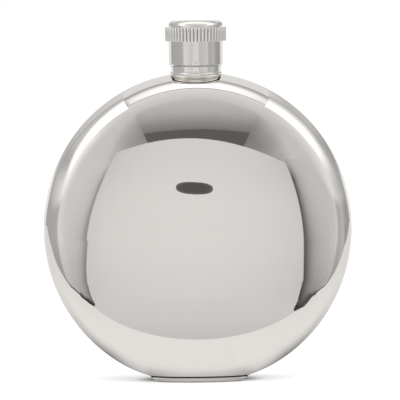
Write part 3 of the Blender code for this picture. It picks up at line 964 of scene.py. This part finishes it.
def front_edge(side, x):
    """Where the bright sheet's front edge runs on one side, as y by the distance from the middle."""
    if side < 0:
        return np.interp(x, (0.058, 0.065, 0.074, 0.083, 0.097, 0.131, 0.187, 0.307, 0.61, 1.25),
                         (-0.103, -0.113, -0.121, -0.105, -0.080, -0.063, -0.043, -0.010, 0.146, 0.6))
    return np.interp(x, (0.043, 0.0495, 0.057, 0.067, 0.074, 0.083, 0.093, 0.123, 0.173, 0.270, 0.447, 1.25),
                     (-0.085, -0.0895, -0.0975, -0.116, -0.120, -0.101, -0.078, -0.061, -0.041, -0.012,
                      0.127, 0.8))


def cloth_half(side, y):
    """Half width of the pale strip on one side, where the dull cloth begins."""
    return strip_sides(np.maximum(-y, 0.054))[0 if side < 0 else 1]


def cloth_tone(side, x, y):
    """Grey of the dull cloth: darker beside the pale strip and, with a little painted shade, near the corner
    of the sheets.
    """
    turn = degrees(x, -y)
    edge = degrees(cloth_half(side, y), np.maximum(-y, 1e-4))
    tone = side_grey(side * turn) * edge_fringe(side * turn, np.maximum(turn - edge, 0.0) / 1.7)
    # painted shade near the corner where the sheets meet
    if side > 0:
        corner = np.hypot(x - 0.060, y + 0.118)
        return tone * np.interp(corner, (0, 0.03, 0.07, 0.15, 0.28), (0.50, 0.68, 0.84, 0.95, 1.00))
    corner = np.hypot(x - 0.068, y + 0.118)
    return tone * np.interp(corner, (0, 0.03, 0.07, 0.12, 0.19, 0.30), (0.66, 0.76, 0.83, 0.88, 0.94, 1.0))


def dull_cloths(mat):
    """The dull cloth on the table, on both sides of the pale strip."""
    back, near, front_length, reach = 0.9, -0.054, 1.20, 1.3
    for name, side in (("dull_cloth_left", -1.0), ("dull_cloth_right", 1.0)):
        u, v = unit_grid(220, 160)
        y = np.interp(v, (0.0, 0.2), (back, near)) - front_length * (np.maximum(v - 0.2, 0.0) / 0.8) ** 1.5
        half = cloth_half(side, y)
        x = half + (reach - half) * u ** 2.5
        studio_card(name, side * x, y, 0.0002, cloth_tone(side, x, y), mat)


def bright_sheet(mat):
    """The bright sheet under the flask, with the flask's shadow painted in under and close beside the foot; a
    little darker far from it.
    """
    foot_half_width, foot_half_depth = 0.013, 0.006
    reach = 1.25
    u, v = unit_grid(110, 700)
    x = reach * (2 * u - 1) * np.abs(2 * u - 1) ** 1.4
    front = np.where(x < 0, front_edge(-1, -x), front_edge(1, x))
    y = front + (reach - front) * v ** 2
    contact = np.hypot(np.maximum(np.abs(x) - foot_half_width, 0.0),
                       np.maximum(np.abs(y) - foot_half_depth, 0.0))
    # painted shadow of the flask's body on the sheet, beside and behind the foot
    shade = np.interp(np.abs(x), (0.010, 0.020, 0.033, 0.051, 0.076, 0.12),
                      (0.20, 0.46, 0.52, 0.24, 0.08, 0.0))
    depth = np.interp(np.abs(x), (0.02, 0.033), (0.006, 0.010))
    shade = shade * np.exp(-(np.minimum(y, 0.0) / depth) ** 2) * (1 - smooth(y, 0.025, 0.060))
    tone = 0.735 - 0.06 * smooth(np.hypot(x, y), 0.05, 0.16)
    # painted contact shadow round the foot
    tone = tone - 0.24 * np.exp(-np.maximum(contact - 0.004, 0.0) / 0.0028)
    tone = np.maximum(tone - shade - 0.15 * np.exp(-contact / 0.0015), 0.08)
    studio_card("bright_sheet", x, y, 0.0004, tone, mat)


def pale_strip(mat):
    """The pale strip on the table, which runs from the flask to the pale sheet."""
    u, v = unit_grid(100, 60)
    away = STRIP_NEAR + (STRIP_FAR - STRIP_NEAR) * v ** 2
    left, right = strip_sides(away)
    tone = np.interp(away, (0.053, 0.08, 0.14, 0.30, 0.45), (0.525, 0.575, 0.632, 0.664, 0.672))
    tone = tone - sheet_shade(u) * smooth(away, 0.07, 0.15)
    studio_card("pale_strip", (left + right) * u - left, -away, 0.0006, tone, mat)


def shadow_lines(mat):
    """Painted shadow: the thin dark lines where the bright sheet lifts off the cloth beside the corners."""
    first, last = 0.042, 0.175
    for name, side in (("shadow_line_left", -1), ("shadow_line_right", 1)):
        u, v = unit_grid(14, 260)
        x = first + (last - first) * u
        if side < 0:
            width = np.interp(x, (0.060, 0.070, 0.078, 0.090, 0.110), (0.004, 0.007, 0.0115, 0.0115, 0.007))
            depth = np.interp(x, (0.060, 0.098, 0.116, 0.130), (0.90, 0.88, 0.50, 0.0))
        else:
            width = np.interp(x, (0.043, 0.052, 0.063, 0.072, 0.082, 0.100, 0.125),
                              (0.0050, 0.0070, 0.0070, 0.0085, 0.0100, 0.0060, 0.0030))
            depth = np.interp(x, (0.050, 0.100, 0.130, 0.150), (0.70, 0.66, 0.40, 0.0))
        widths_off = 2.2 * v - 0.4
        y = front_edge(side, x) - widths_off * width
        line = depth * (1 - smooth(widths_off, 0.5, 1.8))
        studio_card(name, side * x, y, 0.0003, cloth_tone(side, x, y) * (1 - line), mat)


def seen_rays(tree):
    """1 for the rays that the camera, the mirror and clear things send out, 0 for diffuse ones."""
    path = tree.nodes.new("ShaderNodeLightPath")
    seen = math_node(tree, "MAXIMUM", path.outputs["Is Camera Ray"], path.outputs["Is Glossy Ray"])
    return math_node(tree, "MAXIMUM", seen, path.outputs["Is Transmission Ray"])


def floor_material():
    """A pale floor: diffuse white that keeps the shadow, and own light that fades under the foot."""
    foot_radius, full_radius = 0.0155, 0.0215
    mat, tree = new_material("floor_white")
    shader = tree.nodes["Principled BSDF"]
    for label, value in (("Base Color", (0.92, 0.92, 0.92, 1.0)), ("Roughness", 1.0),
                         ("Specular IOR Level", 0.0), ("Emission Color", (1.0, 1.0, 1.0, 1.0))):
        shader.inputs[label].default_value = value
    place = tree.nodes.new("ShaderNodeTexCoord")
    reach = tree.nodes.new("ShaderNodeVectorMath")
    reach.operation = "LENGTH"
    tree.links.new(stretched(tree, place.outputs["Object"], (1.0, 2.1, 1.0)), reach.inputs[0])
    fade = ranged(tree, reach.outputs["Value"], foot_radius, full_radius, 0.02, 0.42)
    tree.links.new(math_node(tree, "MULTIPLY", seen_rays(tree), fade), shader.inputs["Emission Strength"])
    return mat


def floor_sheet():
    """The floor: one large square at the height of the foot."""
    reach = 6.0
    mesh = bpy.data.meshes.new("floor")
    corners = [(-reach, -reach, 0), (reach, -reach, 0), (reach, reach, 0), (-reach, reach, 0)]
    mesh.from_pydata(corners, [], [(0, 1, 2, 3)])
    mesh.materials.append(floor_material())
    new_object("floor", mesh)


def white_world():
    """A white world: full strength to the rays that are seen and a plain level for diffuse ones."""
    world = bpy.data.worlds.new("studio_white")
    bpy.context.scene.world = world
    world.use_nodes = True
    tree = world.node_tree
    background = tree.nodes["Background"]
    background.inputs["Color"].default_value = (1.0, 1.0, 1.0, 1.0)
    tree.links.new(math_node(tree, "MAXIMUM", seen_rays(tree), AMBIENT), background.inputs["Strength"])


def soft_light(name, place, size, power):
    """A square lamp that shines at the flask and isn't seen in its mirror."""
    data = bpy.data.lights.new(name, "AREA")
    data.size = size
    data.energy = power
    lamp = new_object(name, data)
    lamp.location = place
    direction = Vector((0.0, 0.0, CENTRE_HEIGHT)) - Vector(place)
    lamp.rotation_euler = direction.to_track_quat("-Z", "Y").to_euler()
    lamp.visible_glossy = False


def studio_camera(studio):
    """Looks at the flask from the front and a little above, with the body where the picture has it."""
    data = bpy.data.cameras.new("camera")
    data.sensor_width = SENSOR
    data.lens = studio.scale * studio.camera_distance * SENSOR / PICTURE
    data.clip_end = 10.0
    camera = new_object("camera", data)
    rise = studio.camera_elevation
    lean = studio.lean
    away = Vector((0.0, -math.cos(rise), math.sin(rise)))
    up = Vector((0.0, math.sin(rise), math.cos(rise)))
    right = Vector((1.0, 0.0, 0.0))
    body = Vector((0.0, 0.0, CENTRE_HEIGHT))
    aim_right = (PICTURE / 2.0 - BODY_PIXEL[0]) / studio.scale
    aim_up = (BODY_PIXEL[1] - PICTURE / 2.0) / studio.scale
    aim = right * (aim_right * math.cos(lean) + aim_up * math.sin(lean))
    aim += up * (aim_up * math.cos(lean) - aim_right * math.sin(lean))
    place = body + away * studio.camera_distance
    forward = (body + aim - place).normalized()
    side = forward.cross(up).normalized()
    level = Matrix((side, side.cross(forward), -forward)).transposed()
    roll = Matrix.Rotation(-lean, 3, "Z")
    camera.matrix_world = Matrix.Translation(place) @ (level @ roll).to_4x4()
    bpy.context.scene.camera = camera


class FLASK_OT_body(bpy.types.Operator):
    """Builds the front and back shells and the foot plate"""

    bl_idname = "flask.body"
    bl_label = "Body Shells and Foot"

    def execute(self, context):
        body = context.scene.flask_body
        tint = context.scene.flask_finish.steel
        steel = steel_material("polished_shell", tint, polished=0.012, dull=0.035, waviness=1.0)
        for name, node, front in (("front_face", "front_shell", True), ("back_face", "back_shell", False)):
            place_piece(build_shell(name, front, body), steel, "flask", node)
        steel = steel_material("polished_foot", tint, polished=0.03, dull=0.08, waviness=0.6)
        place_piece(build_foot("foot", body), steel, "flask", "foot_plate")
        return {"FINISHED"}


class FLASK_OT_neck(bpy.types.Operator):
    """Builds the threaded spout and the turned collar"""

    bl_idname = "flask.neck"
    bl_label = "Spout and Collar"

    def execute(self, context):
        neck = context.scene.flask_neck
        finish = context.scene.flask_finish
        steel = steel_material("turned_spout", finish.turned, polished=0.10, dull=0.24, waviness=0.5)
        place_piece(build_spout("spout", neck), steel, "flask", "neck_spout")
        collar = build_collar("collar", neck, context.scene.flask_body)
        steel = steel_material("polished_collar", finish.collar, polished=0.03, dull=0.07, waviness=0.6,
                               shade_left=0.55)
        place_piece(collar, steel, "flask", "neck_collar")
        return {"FINISHED"}


class FLASK_OT_cap(bpy.types.Operator):
    """Builds the cap shell and the ribbed grip ring"""

    bl_idname = "flask.cap"
    bl_label = "Cap and Grip Ring"

    def execute(self, context):
        cap = context.scene.flask_cap
        finish = context.scene.flask_finish
        steel = steel_material("polished_cap", finish.steel, polished=0.035, dull=0.08, waviness=0.8)
        place_piece(build_cap("cap", cap), steel, "cap", "cap_shell")
        steel = steel_material("polished_ring", finish.ring, polished=0.05, dull=0.09, waviness=0.2,
                               shade_left=0.60)
        place_piece(build_grip_ring("grip_ring", cap), steel, "cap", "cap_grip_ring")
        return {"FINISHED"}


class FLASK_OT_liner(bpy.types.Operator):
    """Builds the threaded liner and the seal inside the cap"""

    bl_idname = "flask.liner"
    bl_label = "Liner and Seal"

    def execute(self, context):
        finish = context.scene.flask_finish
        liner = build_liner("thread_liner", context.scene.flask_cap, context.scene.flask_neck)
        plastic = skin_material("liner_plastic", finish.plastic, fresh=0.38, dull=0.55, grain=1400.0,
                                bump_depth=0.00002)
        place_piece(liner, plastic, "cap", "cap_thread_liner")
        rubber = skin_material("seal_rubber", finish.rubber, fresh=0.50, dull=0.75, grain=2200.0,
                               bump_depth=0.00003)
        place_piece(build_seal("seal"), rubber, "seal", "cap_seal")
        return {"FINISHED"}


class FLASK_OT_stage(bpy.types.Operator):
    """Builds the pale floor, the white world, the mirrored studio, the lamps and the camera"""

    bl_idname = "flask.stage"
    bl_label = "Studio"

    def execute(self, context):
        floor_sheet()
        white_world()
        mat = tone_material()
        for build in (front_card, lens_opening, side_curtain, ceiling_panel, white_opening, dull_cloths,
                      bright_sheet, pale_strip, shadow_lines):
            build(mat)
        tent("tent_front", -62.0, 62.0, 760, mat)
        tent("tent_back", 62.0, 298.0, 480, mat)
        soft_light("top_light", (0.0, -0.3, 1.2), size=1.2, power=6.0)
        soft_light("front_light", (0.5, -1.3, 0.7), size=0.8, power=4.0)
        studio_camera(context.scene.flask_studio)
        context.scene.view_settings.view_transform = "Standard"
        return {"FINISHED"}


class FLASK_PT_panel(bpy.types.Panel):
    """Lists the steps that build the flask and its studio"""

    bl_idname = "FLASK_PT_panel"
    bl_label = "Round Hip Flask"
    bl_space_type = "VIEW_3D"
    bl_region_type = "UI"
    bl_category = "Flask"

    def draw(self, context):
        for step in STEPS:
            self.layout.operator(step.bl_idname)
        for group in SETTINGS:
            settings = getattr(context.scene, group)
            box = self.layout.box()
            for label in settings.bl_rna.properties.keys():
                if label not in ("rna_type", "name"):
                    box.prop(settings, label)


STEPS = (FLASK_OT_body, FLASK_OT_neck, FLASK_OT_cap, FLASK_OT_liner, FLASK_OT_stage)
SETTINGS = {
    "flask_body": FlaskBodySettings,
    "flask_neck": FlaskNeckSettings,
    "flask_cap": FlaskCapSettings,
    "flask_finish": FlaskFinishSettings,
    "flask_studio": FlaskStudioSettings,
}


def register():
    """Registers the settings, the operators and the panel, and gives each scene its settings."""
    for cls in (*SETTINGS.values(), *STEPS, FLASK_PT_panel):
        bpy.utils.register_class(cls)
    for name, cls in SETTINGS.items():
        setattr(bpy.types.Scene, name, bpy.props.PointerProperty(type=cls))


def unregister():
    """Takes back everything that register did."""
    for name in SETTINGS:
        delattr(bpy.types.Scene, name)
    for cls in reversed((*SETTINGS.values(), *STEPS, FLASK_PT_panel)):
        bpy.utils.unregister_class(cls)


def main():
    """Builds every piece and the stage."""
    register()
    bpy.ops.flask.body()
    bpy.ops.flask.neck()
    bpy.ops.flask.cap()
    bpy.ops.flask.liner()
    bpy.ops.flask.stage()


if __name__ == "__main__":
    main()
